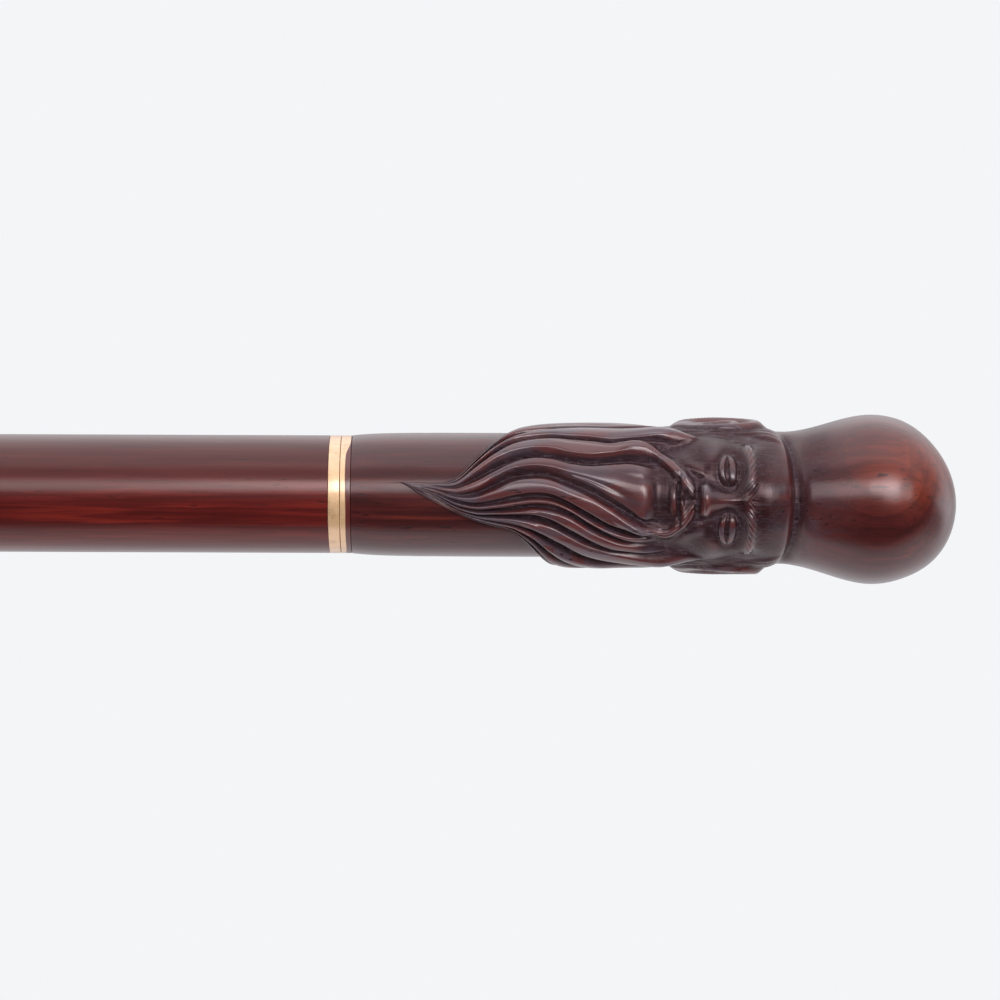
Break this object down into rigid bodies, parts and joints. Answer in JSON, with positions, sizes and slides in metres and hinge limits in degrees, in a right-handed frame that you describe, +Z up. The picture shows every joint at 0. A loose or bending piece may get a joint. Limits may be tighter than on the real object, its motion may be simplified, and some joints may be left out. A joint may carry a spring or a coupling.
{
  "type": "walking cane",
  "caption": "Straight dark red hardwood walking cane with a carved bearded-sage handle, round knob, brass screw joint, brass ferrule and rubber foot.",
  "frame": {"origin": "centre of the foot's tread, on the floor", "axes": "+Z up along the cane towards the knob, -Y the way the carved face looks"},
  "size_m": [0.036, 0.037, 0.9],
  "materials": {
    "redwood": "gloss lacquer over dark red hardwood",
    "carved_redwood": "gloss lacquer over carved dark red hardwood, darker in the hollows",
    "brass": "polished",
    "steel": "turned",
    "rubber": "matt moulded"
  },
  "bodies": {
    "shaft": {"shaft": "redwood", "foot_ferrule": "brass", "ferrule_pin_left": "brass", "ferrule_pin_right": "brass", "tip_washer": "steel", "rubber_tip": "rubber", "shaft_collar": "brass", "shaft_socket": "brass"},
    "collar": {"handle_collar": "brass"},
    "handle": {"carved_handle": "carved_redwood", "handle_anchor": "brass", "joint_stud": "steel"}
  },
  "joints": [
    {"name": "handle_lift", "type": "slide", "parent": "shaft", "child": "collar", "axis": [0, 0, 1], "range_m": [0, 0.0126]},
    {"name": "handle_unscrew", "type": "hinge", "parent": "collar", "child": "handle", "pos_m": [0, 0, 0.7697], "axis": [0, 0, 1], "range_deg": [0, 1800]}
  ],
  "couplings": [
    {"joint": "handle_lift", "follows": "handle_unscrew", "m_per_rad": 0.00039789}
  ]
}
